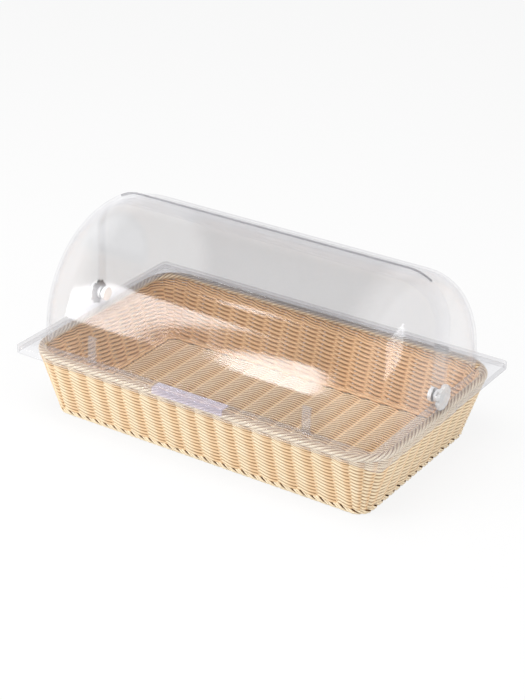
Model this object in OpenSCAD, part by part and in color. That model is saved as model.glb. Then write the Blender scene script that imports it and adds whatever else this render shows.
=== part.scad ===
// Countertop bread display bin: a woven basket with a clear roll-top cover.
// Millimetres, +Z up, X along the length, the front with the lift handle faces -Y.
// The origin is on the counter, under the middle of the basket and under the pivot axis.

/* [Basket] */
// Outer length of the basket at its top edge
basket_l = 520; // [440:1:600]
// Outer depth of the basket at its top edge
basket_w = 315; // [270:1:360]
// Height of the basket
basket_h = 95; // [70:1:130]
// How far each side leans outwards from the foot to the top edge
flare = 29; // [10:1:40]
// Corner radius at the foot
foot_corner_r = 20; // [16:1:40]
// Thickness of the woven wall
weave_t = 9; // [8:0.5:10]
// Height of the braided border along the top edge
top_border_h = 10; // [8:0.5:14]
// Width of the braided border along the top edge
top_border_w = 11; // [10:0.5:14]
// Height of the braided foot border
foot_border_h = 12; // [11:0.5:14]
// Width of the braided foot border
foot_border_w = 12; // [11:0.5:15]
// Thickness of the woven floor
floor_t = 7; // [6:0.5:9]
// Height of the floor's underside above the counter
floor_lift = 1.5; // [1:0.5:3]

/* [Stakes and hoops] */
// Width of a stake
stake_w = 5; // [3:0.5:8]
// Thickness of a stake
stake_t = 2; // [1:0.25:2.5]
// Distance between neighbouring stakes
stake_pitch = 27.5; // [18:0.5:36]
// Stakes in each corner
corner_stakes_n = 3; // [2:1:4]
// Clearance round a stake in its weave
stake_gap = 0.15; // [0.1:0.05:0.3]
// Gap between a stake's top end and the top border
stake_short = 1; // [0.5:0.5:3]
// Diameter of the steel wire hoops
wire_d = 3; // [2:0.25:3.5]
// Clearance round a hoop in its border
wire_gap = 0.2; // [0.1:0.05:0.4]

/* [Base frame of the cover] */
// Gap between the basket's top edge and the lip round it
lip_gap = 2.5; // [1:0.25:5]
// Thickness of the frame's plate
plate_t = 3; // [2:0.25:5]
// Width of the frame's plate
plate_w = 24; // [22:0.5:32]
// Outer corner radius of the plate
plate_corner_r = 6; // [4:0.5:20]
// Depth of the lip from the plate's upper face
lip_h = 10; // [6:0.5:16]
// Thickness of the lip
lip_t = 2.5; // [1.5:0.25:4]
// Width of the thickened pad at each end of the frame
end_pad_w = 44; // [30:1:60]
// How far that pad stands out from the lip
end_pad_t = 1.2; // [0.6:0.1:2]

/* [Roll-top covers] */
// Thickness of both clear covers
cover_t = 3; // [2:0.25:4]
// Gap between the front cover and the rear cover inside it
cover_gap = 3; // [2:0.25:5]
// Rim of the frame that stays free beyond the front cover, at the front
front_ledge = 12.5; // [11:0.5:16]
// Rim of the frame that stays free beyond the front cover, at each end
end_ledge = 10; // [8:0.5:12]
// Radius of the shoulder between the curved wall and an end wall
shoulder_r = 60; // [40:1:75]
// Height of the pivot axis above the frame's plate
pivot_h = 16.5; // [15:0.5:22]
// Overlap of the front cover behind the pivot axis
front_lap = 12; // [9:0.5:14]
// Overlap of the rear cover ahead of the pivot axis
rear_lap = 10; // [8:0.5:14]

/* [Lift handle] */
// Length of the handle
handle_l = 102; // [60:1:160]
// Height of the handle's ledge above the frame's plate
handle_up = 7; // [6:0.5:12]
// Thickness of the handle
handle_t = 2.5; // [2:0.25:4]
// How far the handle's apron hangs below the top of the frame's plate
apron_drop = 2; // [1:0.25:6]
// Clearance between the apron and the lip of the frame
apron_gap = 0.5; // [0.4:0.1:1.5]

/* [Front guides] */
// Distance of each guide from the middle of the front
guide_x = 156; // [100:1:175]
// Width of a guide
guide_w = 12; // [6:1:20]
// Height of a guide
guide_h = 35; // [20:1:50]
// Thickness of a guide
guide_t = 2; // [1.5:0.25:3]
// Clearance between a guide and the front cover
guide_gap = 1; // [0.5:0.25:1.5]

/* [Pivots] */
// Radius of the pivot shaft
shaft_r = 4; // [3:0.25:5]
// Radial clearance of the front cover on the shaft
bearing_gap = 0.08; // [0.05:0.01:0.1]
// Clearance of the fixed pieces on the shaft, and between stacked faces
seat_gap = 0.05; // [0.02:0.01:0.1]
// Clearance between the knob's head and the front cover
head_gap = 0.4; // [0.3:0.1:0.8]
// Radius of the knob's head
head_r = 16.5; // [12:0.5:18]
// Thickness of the knob's head
head_t = 5; // [3:0.5:6]
// Finger scallops round the head
scallops = 10; // [6:1:14]
// Radius of a scallop
scallop_r = 3; // [2:0.25:3.5]
// How far a scallop's centre lies outside the head's rim
scallop_out = 1; // [0.5:0.25:1.5]
// Radius of the spacer washer between the covers
washer_r = 8; // [6.5:0.5:8]
// Radius of the nut inside the rear cover
nut_r = 9; // [7:0.5:12]
// Thickness of the nut
nut_t = 5; // [4:0.5:8]

/* [Hidden] */
$fn = 96;
wire_step = 15;
// How far a cut runs past the face that it opens
cut = 1;
// Overlap that fuses two stretches of one solid
eps = 0.01;

// Corner centres of the basket: every ring of it is drawn round this rectangle.
centre_x = basket_l / 2 - flare - foot_corner_r;
centre_y = basket_w / 2 - flare - foot_corner_r;
border_z = basket_h - top_border_h;
stake_top = border_z - stake_short;
stake_z0 = floor_lift + (floor_t - stake_t) / 2;
stake_z1 = stake_z0 + stake_t;

// Offset of the wall's outer face from the corner centres at height z.
function wall_u(z) = foot_corner_r + flare * z / basket_h;
// Offset of the middle of the woven wall at height z.
function mid_u(z) = wall_u(z) - weave_t / 2;
// Places of n copies spread evenly about zero.
function spread(n, pitch) = [for (i = [0 : n - 1]) (i - (n - 1) / 2) * pitch];
// How many copies fit into the straight stretch of a side with half length half_l.
function fitting(half_l) = floor((2 * half_l - stake_w) / stake_pitch) + 1;

// Hoops: one in the middle of the top border, one just inside the stakes in the foot border
groove = wire_d / 2 + wire_gap;
rim_hoop_u = wall_u(border_z) - top_border_w / 2;
rim_hoop_z = border_z + top_border_h / 2;
foot_hoop_z = stake_z1 + 2 * stake_gap + groove;
foot_hoop_u = mid_u(stake_z1) - stake_t / 2 - 2 * stake_gap - groove;

// Frame and covers
rim_z = basket_h + plate_t;
frame_l = basket_l + 2 * (lip_gap + lip_t);
frame_w = basket_w + 2 * (lip_gap + lip_t);
lip_z0 = rim_z - lip_h;
pivot_z = rim_z + pivot_h;
front_r = frame_w / 2 - front_ledge;
front_half = frame_l / 2 - end_ledge;
inset = cover_t + cover_gap;
rear_r = front_r - inset;
rear_half = front_half - inset;
reach = 2 * frame_l;

// Pivots, measured outwards from the middle of the bin
knob_x = front_half + head_gap;
nut_x = rear_half - cover_t - seat_gap;
washer_x = rear_half + seat_gap;
washer_t = cover_gap - 2 * seat_gap;

// A closed profile in offset and height, swept round the basket's corner rectangle.
module swept_ring(points) {
    for (side = [0, 1]) {
        mirror([0, side, 0]) translate([-centre_x, centre_y, 0])
            rotate([90, 0, 90]) linear_extrude(2 * centre_x) polygon(points);
        mirror([side, 0, 0]) translate([centre_x, centre_y, 0])
            rotate([90, 0, 0]) linear_extrude(2 * centre_y) polygon(points);
        for (end = [0, 1])
            mirror([end, 0, 0]) mirror([0, side, 0]) translate([centre_x, centre_y, 0])
                rotate_extrude(angle = 90) polygon(points);
    }
}

// A round wire bent round the basket's corner rectangle at offset u and height z.
module hoop(u, z, d) {
    swept_ring([for (a = [0 : wire_step : 360 - wire_step]) [u + d / 2 * cos(a), z + d / 2 * sin(a)]]);
}

// A slab with rounded corners.
module rounded_slab(l, w, r, h) {
    linear_extrude(h) union() {
        square([l - 2 * r, w], center = true);
        square([l, w - 2 * r], center = true);
        for (sx = [-1, 1], sy = [-1, 1])
            translate([sx * (l / 2 - r), sy * (w / 2 - r)]) circle(r);
    }
}

// One leg of a stake in offset and height, from the foot to under the top border.
function leg(gap) = [
    [mid_u(stake_z0 - gap) + stake_t / 2 + gap, stake_z0 - gap],
    [mid_u(stake_top + gap) + stake_t / 2 + gap, stake_top + gap],
    [mid_u(stake_top + gap) - stake_t / 2 - gap, stake_top + gap],
    [mid_u(stake_z0 - gap) - stake_t / 2 - gap, stake_z0 - gap]];

// Stakes that run down the front, across the floor and up the rear.
module cross_stake_set(gap) {
    z0 = stake_z0 - gap;
    z1 = stake_z1 + gap;
    out = [for (p = leg(gap)) [p[0] + centre_y, p[1]]];
    bend = centre_y + mid_u(z1) - stake_t / 2 - gap;
    half = [out[0], out[1], out[2], [bend, z1]];
    outline = concat(half, [for (i = [3 : -1 : 0]) [-half[i][0], half[i][1]]]);
    for (x = spread(fitting(centre_x), stake_pitch))
        translate([x - stake_w / 2 - gap, 0, 0])
            rotate([90, 0, 90]) linear_extrude(stake_w + 2 * gap) polygon(outline);
}

// Stakes of the two ends, set into the foot border.
module end_stake_set(gap) {
    for (side = [0, 1], y = spread(fitting(centre_y), stake_pitch))
        mirror([side, 0, 0]) translate([centre_x, y + stake_w / 2 + gap, 0])
            rotate([90, 0, 0]) linear_extrude(stake_w + 2 * gap) polygon(leg(gap));
}

// Stakes of the four corners, fanned round each corner centre.
module corner_stake_set(gap) {
    for (sx = [0, 1], sy = [0, 1], i = [1 : corner_stakes_n])
        mirror([sx, 0, 0]) mirror([0, sy, 0]) translate([centre_x, centre_y, 0])
            rotate([90, 0, i * 90 / (corner_stakes_n + 1)])
                translate([0, 0, -stake_w / 2 - gap])
                    linear_extrude(stake_w + 2 * gap) polygon(leg(gap));
}

module all_stakes(gap) {
    cross_stake_set(gap);
    end_stake_set(gap);
    corner_stake_set(gap);
}

module woven_floor() {
    u = foot_corner_r - foot_border_w;
    color("tan") difference() {
        translate([0, 0, floor_lift])
            rounded_slab(2 * (centre_x + u), 2 * (centre_y + u), u, floor_t);
        cross_stake_set(stake_gap);
    }
}

module woven_wall() {
    z0 = foot_border_h;
    color("wheat") difference() {
        swept_ring([[wall_u(z0) - weave_t, z0], [wall_u(z0), z0],
                    [wall_u(border_z), border_z], [wall_u(border_z) - weave_t, border_z]]);
        all_stakes(stake_gap);
    }
}

module top_border() {
    color("burlywood") difference() {
        swept_ring([[wall_u(border_z) - top_border_w, border_z], [wall_u(border_z), border_z],
                    [wall_u(basket_h), basket_h], [wall_u(basket_h) - top_border_w, basket_h]]);
        swept_ring([[rim_hoop_u - groove, border_z - cut], [rim_hoop_u + groove, border_z - cut],
                    [rim_hoop_u + groove, rim_hoop_z + groove],
                    [rim_hoop_u - groove, rim_hoop_z + groove]]);
    }
}

module foot_border() {
    inner = foot_corner_r - foot_border_w;
    open_z = foot_border_h + cut;
    color("burlywood") difference() {
        swept_ring([[inner, 0], [foot_corner_r, 0],
                    [wall_u(foot_border_h), foot_border_h], [inner, foot_border_h]]);
        all_stakes(stake_gap);
        swept_ring([[foot_hoop_u - groove, foot_hoop_z - groove],
                    [foot_hoop_u + groove, foot_hoop_z - groove],
                    [foot_hoop_u + groove, open_z], [foot_hoop_u - groove, open_z]]);
    }
}

module cross_stakes() {
    color("peru") cross_stake_set(0);
}

module end_stakes() {
    color("peru") end_stake_set(0);
}

module corner_stakes() {
    color("peru") corner_stake_set(0);
}

module rim_hoop() {
    color("gray") hoop(rim_hoop_u, rim_hoop_z, wire_d);
}

module foot_hoop() {
    color("gray") hoop(foot_hoop_u, foot_hoop_z, wire_d);
}

module base_frame() {
    inner_l = frame_l - 2 * plate_w;
    inner_w = frame_w - 2 * plate_w;
    color("gainsboro", 0.5) difference() {
        union() {
            translate([0, 0, lip_z0]) rounded_slab(frame_l, frame_w, plate_corner_r, lip_h);
            translate([-frame_l / 2 - end_pad_t, -end_pad_w / 2, lip_z0])
                cube([frame_l + 2 * end_pad_t, end_pad_w, lip_h]);
        }
        translate([0, 0, lip_z0 - cut])
            rounded_slab(frame_l - 2 * lip_t, frame_w - 2 * lip_t, plate_corner_r - lip_t,
                         lip_h - plate_t + cut);
        translate([0, 0, lip_z0 - cut])
            rounded_slab(inner_l, inner_w, plate_corner_r, lip_h + 2 * cut);
    }
}

// A solid drum round the pivot axis with rounded shoulders.
module drum(half, r, shoulder) {
    translate([0, 0, pivot_z]) rotate([0, 90, 0]) rotate_extrude() {
        translate([0, -half]) square([r - shoulder, 2 * half]);
        translate([0, shoulder - half]) square([r, 2 * (half - shoulder)]);
        for (s = [-1, 1]) intersection() {
            translate([r - shoulder, s * (half - shoulder)]) circle(shoulder);
            translate([0, -half]) square([r, 2 * half]);
        }
    }
}

module drum_shell(half, r, shoulder) {
    difference() {
        drum(half, r, shoulder);
        drum(half - cover_t, r - cover_t, shoulder - cover_t);
    }
}

// A cylinder on the pivot axis from x0 outwards, on the right-hand side.
module on_axis(x0, h, r) {
    translate([x0, 0, pivot_z]) rotate([0, 90, 0]) cylinder(h = h, r = r);
}

module front_cover() {
    color("white", 0.35) difference() {
        intersection() {
            drum_shell(front_half, front_r, shoulder_r);
            union() {
                translate([-reach / 2, -reach, pivot_z]) cube([reach, reach + front_lap, reach]);
                translate([-reach / 2, -reach, rim_z]) cube([reach, reach, pivot_h + eps]);
                on_axis(-reach / 2, reach, front_lap);
            }
        }
        on_axis(-reach / 2, reach, shaft_r + bearing_gap);
    }
}

module rear_cover() {
    color("white", 0.35) difference() {
        intersection() {
            drum_shell(rear_half, rear_r, shoulder_r - inset);
            translate([-reach / 2, -rear_lap, rim_z]) cube([reach, reach, reach]);
        }
        on_axis(-reach / 2, reach, shaft_r + seat_gap);
    }
}

module front_guides() {
    outer = front_r - cover_t - guide_gap;
    color("white", 0.5) for (s = [-1, 1])
        intersection() {
            difference() {
                on_axis(s * guide_x - guide_w / 2, guide_w, outer);
                on_axis(s * guide_x - guide_w, 2 * guide_w, outer - guide_t);
            }
            translate([-reach / 2, -reach, rim_z]) cube([reach, reach, guide_h]);
        }
}

module lift_handle() {
    face_y = -frame_w / 2 - apron_gap;
    bottom = rim_z - apron_drop;
    top = rim_z + handle_up;
    color("silver", 0.7) difference() {
        union() {
            translate([-handle_l / 2, face_y - handle_t, top - handle_t])
                cube([handle_l, -face_y + handle_t - front_r + handle_t, handle_t]);
            translate([-handle_l / 2, face_y - handle_t, bottom])
                cube([handle_l, handle_t, top - bottom]);
        }
        on_axis(-handle_l, 2 * handle_l, front_r);
    }
}

module pivot_knob() {
    color("whitesmoke", 0.6) {
        difference() {
            on_axis(knob_x, head_t, head_r);
            for (i = [0 : scallops - 1])
                translate([knob_x - cut, 0, pivot_z]) rotate([i * 360 / scallops, 0, 0])
                    translate([0, 0, head_r + scallop_out]) rotate([0, 90, 0])
                        cylinder(h = head_t + 2 * cut, r = scallop_r, $fn = 32);
        }
        on_axis(nut_x - nut_t, knob_x + head_t / 2 - nut_x + nut_t, shaft_r);
    }
}

module pivot_washer() {
    color("white", 0.7) difference() {
        on_axis(washer_x, washer_t, washer_r);
        on_axis(washer_x - cut, washer_t + 2 * cut, shaft_r + seat_gap);
    }
}

module pivot_nut() {
    color("white", 0.7) difference() {
        on_axis(nut_x - nut_t, nut_t, nut_r);
        on_axis(nut_x - nut_t - cut, nut_t + 2 * cut, shaft_r + seat_gap);
    }
}

woven_floor();
woven_wall();
top_border();
foot_border();
cross_stakes();
end_stakes();
corner_stakes();
rim_hoop();
foot_hoop();
base_frame();
front_guides();
rear_cover();
front_cover();
lift_handle();
mirror([1, 0, 0]) pivot_knob();  // pivot_knob_left
pivot_knob();  // pivot_knob_right
mirror([1, 0, 0]) pivot_washer();  // pivot_washer_left
pivot_washer();  // pivot_washer_right
mirror([1, 0, 0]) pivot_nut();  // pivot_nut_left
pivot_nut();  // pivot_nut_right
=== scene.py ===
"""Countertop bread display bin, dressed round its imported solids.

A tapered basket twined from round strands stands on a laid foot border. A clear frame with a
down-turned lip lies on its top border and carries a clear rear cover; a clear front cover with
a lift handle rolls up over it on two end pivots. Lengths are in metres, +Z is up and the front
with the lift handle faces -Y, as in the solids.
"""

import logging
import math
from dataclasses import asdict, dataclass, fields, replace
from enum import Enum
from typing import Callable, Sequence

import bmesh
import bpy
import numpy as np
from mathutils import Matrix, Vector


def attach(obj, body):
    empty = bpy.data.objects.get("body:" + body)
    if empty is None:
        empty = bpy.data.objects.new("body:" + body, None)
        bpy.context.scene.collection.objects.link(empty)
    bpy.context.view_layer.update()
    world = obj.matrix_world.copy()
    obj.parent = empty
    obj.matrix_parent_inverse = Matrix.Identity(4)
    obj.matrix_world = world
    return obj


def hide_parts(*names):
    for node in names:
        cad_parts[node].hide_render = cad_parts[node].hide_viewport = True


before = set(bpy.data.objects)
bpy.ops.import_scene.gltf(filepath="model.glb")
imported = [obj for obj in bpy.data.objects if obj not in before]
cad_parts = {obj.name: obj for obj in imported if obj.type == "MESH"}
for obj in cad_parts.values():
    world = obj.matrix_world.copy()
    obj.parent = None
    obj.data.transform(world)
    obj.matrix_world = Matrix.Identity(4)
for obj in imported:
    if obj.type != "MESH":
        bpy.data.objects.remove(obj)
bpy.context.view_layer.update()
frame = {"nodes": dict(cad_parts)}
log = logging.getLogger("bread_bin")

Colour = tuple[float, float, float]
Point = tuple[float, float, float]
Stretch = Callable[[float], tuple[Point, Point]]


class Body(str, Enum):
    """The rigid bodies that the pieces ride on."""

    BASKET = "basket"
    COVER_FRAME = "cover_frame"
    FRONT_SHELL = "front_shell"


class Slot(str, Enum):
    """The record's material slots, passed along with each piece where it is placed."""

    WEAVE = "weave"
    CLEAR_FRAME = "clear_frame"
    CLEAR_COVER = "clear_cover"
    CLEAR_KNOB = "clear_knob"
    HANDLE = "handle"


class LampShape(str, Enum):
    """The outlines that a soft lamp can have."""

    RECTANGLE = "RECTANGLE"
    ELLIPSE = "ELLIPSE"


# Node trees ---------------------------------------------------------------------------------


class Graph:
    """A node tree being written, with short calls that add a node and join it up."""

    def __init__(self, tree: bpy.types.NodeTree) -> None:
        """Keeps the tree that the nodes go into."""
        self.tree = tree

    def add(
        self, kind: str, inputs: dict[str | int, object] | None = None, **settings: object
    ) -> bpy.types.Node:
        """Adds one node.

        Args:
            kind: the node's type name.
            inputs: values or sockets for its inputs, by name or number.
            settings: the node's own properties.

        Returns:
            The new node.
        """
        node = self.tree.nodes.new(kind)
        for name, value in settings.items():
            setattr(node, name, value)
        for key, value in (inputs or {}).items():
            if isinstance(value, bpy.types.NodeSocket):
                self.tree.links.new(value, node.inputs[key])
            else:
                node.inputs[key].default_value = value
        return node

    def maths(self, operation: str, *terms: object) -> bpy.types.NodeSocket:
        """Returns the result of one Math node.

        Args:
            operation: the node's operation.
            terms: its inputs in order, as numbers or sockets.

        Returns:
            The output socket.
        """
        node = self.add("ShaderNodeMath", dict(enumerate(terms)), operation=operation)
        return node.outputs[0]

    def vector(self, operation: str, **terms: object) -> bpy.types.NodeSocket:
        """Returns the result of one Vector Math node.

        Args:
            operation: the node's operation.
            terms: a and b, the two vectors, and scale where the operation has one.

        Returns:
            The output socket.
        """
        places = {"a": 0, "b": 1, "scale": "Scale"}
        inputs = {places[key]: value for key, value in terms.items()}
        return self.add("ShaderNodeVectorMath", inputs, operation=operation).outputs[0]

    def shifted(self, place: object, way: object, far: object) -> bpy.types.NodeSocket:
        """Returns a place moved by a distance along a direction."""
        return self.vector("ADD", a=place, b=self.vector("SCALE", a=way, scale=far))

    def dot(self, a: bpy.types.NodeSocket, b: bpy.types.NodeSocket) -> bpy.types.NodeSocket:
        """Returns the dot product of two vectors."""
        node = self.add("ShaderNodeVectorMath", {0: a, 1: b}, operation="DOT_PRODUCT")
        return node.outputs["Value"]

    def ramp(self, value: bpy.types.NodeSocket, low: float, high: float) -> bpy.types.NodeSocket:
        """Returns value mapped smoothly from low..high to 0..1."""
        inputs = {"Value": value, 1: low, 2: high}
        return self.add("ShaderNodeMapRange", inputs, interpolation_type="SMOOTHSTEP").outputs[0]

    def mix(self, share: object, first: object, second: object) -> bpy.types.NodeSocket:
        """Returns a mix of two colours, given as four numbers or sockets."""
        node = self.add("ShaderNodeMix", {0: share, 6: first, 7: second}, data_type="RGBA")
        return node.outputs[2]

    def noise(
        self, place: object, scale: object, detail: float = 2.0, roughness: float = 0.5
    ) -> bpy.types.bpy_prop_collection:
        """Adds a noise texture.

        Args:
            place: the socket that it is read at.
            scale: its scale, as a number or socket.
            detail: how many finer layers it has.
            roughness: how strong the finer layers are.

        Returns:
            The node's outputs, Fac and Color.
        """
        inputs = {"Vector": place, "Scale": scale, "Detail": detail, "Roughness": roughness}
        return self.add("ShaderNodeTexNoise", inputs).outputs

    def surface(self, shader: bpy.types.Node) -> None:
        """Ends a material with its surface."""
        self.add("ShaderNodeOutputMaterial", {"Surface": shader.outputs[0]})


def rgba(colour: Colour) -> tuple[float, float, float, float]:
    """Returns a colour with full alpha."""
    return (*colour, 1.0)


# Strands laid along a guide -----------------------------------------------------------------


@dataclass
class Guide:
    """One line that a strand follows, sampled along its way.

    Rows lie apart along the rise, a strand swings out along the normal, and turn counts its
    swings from the line's start.
    """

    centre: np.ndarray
    normal: np.ndarray
    rise: np.ndarray
    turn: np.ndarray
    closed: bool


@dataclass(frozen=True)
class Lay:
    """How strands lie on their guides, in rows up the rise.

    The first row lies at first and the others a pitch apart, all of them offset along the
    normal and leaning out with their height. A strand swings out and up as it turns, has an
    oval section of a width and a height, and wavers. Roundness is 1 for a strand that turns
    round a line, as in a rope, and 0 for one that only passes in front of and behind stakes.
    """

    swing_out: float
    swing_up: float
    width: float
    height: float
    rows: int = 1
    first: float = 0.0
    pitch: float = 0.0
    offset: float = 0.0
    lean: float = 0.0
    sides: int = 8
    roundness: float = 0.0
    waver: float = 0.00012
    seed: int = 3


class StrandTree:
    """The Geometry Nodes tree that lays rows of round strands along guides."""

    # Bends of a wavering strand per metre, and the steps that tell strands and rows apart
    # where each draws its tone.
    WAVER_SCALE = 55.0
    STRAND_STEP = 0.37
    ROW_STEP = 100.0

    def __init__(self) -> None:
        """Builds the tree once, with an input for each size of a lay and for the finish."""
        self.tree = bpy.data.node_groups.new("laid_strands", "GeometryNodeTree")
        kinds = {int: "NodeSocketInt", float: "NodeSocketFloat"}
        inputs = {size.name: kinds[size.type] for size in fields(Lay)}
        inputs["finish"] = "NodeSocketMaterial"
        face = self.tree.interface
        face.new_socket(name="Geometry", in_out="INPUT", socket_type="NodeSocketGeometry")
        self.sockets = {
            name: face.new_socket(name=name, in_out="INPUT", socket_type=kind).identifier
            for name, kind in inputs.items()
        }
        face.new_socket(name="Geometry", in_out="OUTPUT", socket_type="NodeSocketGeometry")
        self._write(Graph(self.tree))

    @staticmethod
    def _attribute(g: Graph, name: str, kind: str = "FLOAT") -> bpy.types.NodeSocket:
        """Returns a stored attribute of the guide."""
        return g.add("GeometryNodeInputNamedAttribute", {"Name": name}, data_type=kind).outputs[0]

    def _vectors(self, g: Graph, *names: str) -> list[bpy.types.NodeSocket]:
        """Returns stored directions or places of the guide."""
        return [self._attribute(g, name, "FLOAT_VECTOR") for name in names]

    @staticmethod
    def _store(
        g: Graph,
        geometry: bpy.types.NodeSocket,
        values: dict[str, bpy.types.NodeSocket],
        kind: str = "FLOAT",
    ) -> bpy.types.NodeSocket:
        """Stores values on the points of a geometry.

        Args:
            g: the tree's graph.
            geometry: the geometry.
            values: the value for each attribute's name.
            kind: the attributes' type.

        Returns:
            The geometry that carries them.
        """
        for name, value in values.items():
            node = g.add(
                "GeometryNodeStoreNamedAttribute",
                {"Geometry": geometry, "Name": name, "Value": value},
                data_type=kind,
                domain="POINT",
            )
            geometry = node.outputs[0]
        return geometry

    def _write(self, g: Graph) -> None:
        """Writes the nodes: rows, their swing, the profile and the finish.

        Args:
            g: the tree's graph.
        """
        entry = g.add("NodeGroupInput").outputs
        line = g.add("GeometryNodeMeshToCurve", {"Mesh": entry["Geometry"]})
        rows = g.add(
            "GeometryNodeDuplicateElements",
            {"Geometry": line.outputs[0], "Amount": entry["rows"]},
            domain="SPLINE",
        )
        index = rows.outputs["Duplicate Index"]
        height = g.maths("MULTIPLY_ADD", index, entry["pitch"], entry["first"])
        angle = g.maths("MULTIPLY", self._attribute(g, "turn"), 2 * math.pi)
        cosine, sine = g.maths("COSINE", angle), g.maths("SINE", angle)
        out = g.maths("MULTIPLY_ADD", height, entry["lean"], entry["offset"])
        out = g.maths("MULTIPLY_ADD", cosine, entry["swing_out"], out)
        up = g.maths("MULTIPLY_ADD", sine, entry["swing_up"], height)
        centre, normal, rise = self._vectors(g, "centre", "normal", "rise")
        place = g.shifted(g.shifted(centre, normal, out), rise, up)
        noise = g.noise(place, self.WAVER_SCALE, detail=1.0)["Color"]
        noise = g.vector("SUBTRACT", a=noise, b=(0.5, 0.5, 0.5))
        place = g.shifted(place, noise, entry["waver"])
        moved = g.add("GeometryNodeSetPosition", {"Geometry": rows.outputs[0], "Position": place})
        key = g.maths("MULTIPLY_ADD", self._attribute(g, "strand"), self.STRAND_STEP, index)
        key = g.maths("MULTIPLY", key, self.ROW_STEP)
        chance = g.add(
            "FunctionNodeRandomValue", {"ID": key, "Seed": entry["seed"]}, data_type="FLOAT"
        )
        marks = {
            "tone": chance.outputs[1],
            "tuck": g.maths("MULTIPLY_ADD", sine, 0.5, 0.5),
            "run": g.add("GeometryNodeSplineParameter").outputs["Length"],
            "height": height,
        }
        geometry = self._store(g, moved.outputs[0], marks)
        spot = g.add("GeometryNodeInputPosition").outputs[0]
        geometry = self._store(g, geometry, {"axis": spot}, "FLOAT_VECTOR")
        upright = g.add("GeometryNodeSetCurveNormal", {"Curve": geometry}, mode="Z_UP")
        ring = g.add(
            "GeometryNodeCurvePrimitiveCircle", {"Resolution": entry["sides"], "Radius": 0.5}
        )
        size = g.add("ShaderNodeCombineXYZ", {0: entry["width"], 1: entry["height"], 2: 1.0})
        ring = g.add(
            "GeometryNodeTransform", {"Geometry": ring.outputs[0], "Scale": size.outputs[0]}
        )
        mesh = g.add(
            "GeometryNodeCurveToMesh",
            {"Curve": upright.outputs[0], "Profile Curve": ring.outputs[0], "Fill Caps": True},
        )
        marked = self._mark(g, mesh.outputs[0], entry)
        smooth = g.add("GeometryNodeSetShadeSmooth", {"Geometry": marked})
        real = g.add("GeometryNodeRealizeInstances", {"Geometry": smooth.outputs[0]})
        done = g.add(
            "GeometryNodeSetMaterial", {"Geometry": real.outputs[0], "Material": entry["finish"]}
        )
        g.add("NodeGroupOutput", {"Geometry": done.outputs[0]})

    def _mark(
        self, g: Graph, mesh: bpy.types.NodeSocket, entry: bpy.types.bpy_prop_collection
    ) -> bpy.types.NodeSocket:
        """Stores how far out each point reaches, and how far it faces the next strand.

        Args:
            g: the tree's graph.
            mesh: the strands.
            entry: the tree's inputs.

        Returns:
            The strands with what was stored.
        """
        spot = g.add("GeometryNodeInputPosition").outputs[0]
        normal, rise, centre, axis = self._vectors(g, "normal", "rise", "centre", "axis")
        height = self._attribute(g, "height")
        around = g.vector("NORMALIZE", a=g.vector("SUBTRACT", a=spot, b=axis))
        away = g.vector("SUBTRACT", a=spot, b=centre)
        middle = g.maths("MULTIPLY_ADD", height, entry["lean"], entry["offset"])
        out = g.maths("SUBTRACT", g.dot(away, normal), middle)
        up = g.maths("SUBTRACT", g.dot(away, rise), height)
        up = g.maths("MULTIPLY", up, entry["roundness"])
        square = g.maths("ADD", g.maths("POWER", out, 2.0), g.maths("POWER", up, 2.0))
        most = g.maths("MULTIPLY_ADD", entry["width"], 0.5, entry["swing_out"])
        marks = {
            "reach": g.maths("DIVIDE", g.maths("SQRT", square), most),
            "inward": g.maths("MULTIPLY", g.dot(around, normal), -1.0),
            "side": g.maths("ABSOLUTE", g.dot(around, rise)),
        }
        return self._store(g, mesh, marks)

    def lay(
        self, name: str, guides: Sequence[Guide], lay: Lay, finish: bpy.types.Material
    ) -> bpy.types.Object:
        """Lays strands along guides and turns them into one plain mesh.

        Args:
            name: the piece's name.
            guides: the lines to follow, one for each strand of a row.
            lay: the sizes.
            finish: the strands' material.

        Returns:
            The piece, with no modifier left on it.
        """
        base = guide_object(name + "_guide", guides)
        modifier = base.modifiers.new("strands", "NODES")
        modifier.node_group = self.tree
        for size, value in {**asdict(lay), "finish": finish}.items():
            modifier[self.sockets[size]] = value
        return plain_copy(base, name)


def guide_object(name: str, guides: Sequence[Guide]) -> bpy.types.Object:
    """Makes the object that carries guides as edges with attributes.

    Args:
        name: the object's name.
        guides: the lines.

    Returns:
        The object.
    """
    edges: list[tuple[int, int]] = []
    start = 0
    for guide in guides:
        count = len(guide.turn)
        last = count if guide.closed else count - 1
        edges += [(start + i, start + (i + 1) % count) for i in range(last)]
        start += count
    mesh = bpy.data.meshes.new(name)
    centre = np.concatenate([guide.centre for guide in guides])
    mesh.from_pydata(centre.tolist(), edges, [])
    for key in ("centre", "normal", "rise"):
        values = np.concatenate([getattr(guide, key) for guide in guides])
        mesh.attributes.new(key, "FLOAT_VECTOR", "POINT").data.foreach_set(
            "vector", values.astype(np.float32).ravel()
        )
    turn = np.concatenate([guide.turn for guide in guides])
    strand = np.concatenate([np.full(len(g.turn), float(i)) for i, g in enumerate(guides)])
    for key, values in (("turn", turn), ("strand", strand)):
        mesh.attributes.new(key, "FLOAT", "POINT").data.foreach_set(
            "value", values.astype(np.float32)
        )
    return new_object(name, mesh)


# Meshes -------------------------------------------------------------------------------------

MERGE_DISTANCE = 1e-6
SMOOTH_ANGLE = 35.0


def new_object(name: str, data: bpy.types.ID) -> bpy.types.Object:
    """Puts a mesh, a lamp or a camera into the scene as an object at the origin."""
    made = bpy.data.objects.new(name, data)
    bpy.context.scene.collection.objects.link(made)
    return made


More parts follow.
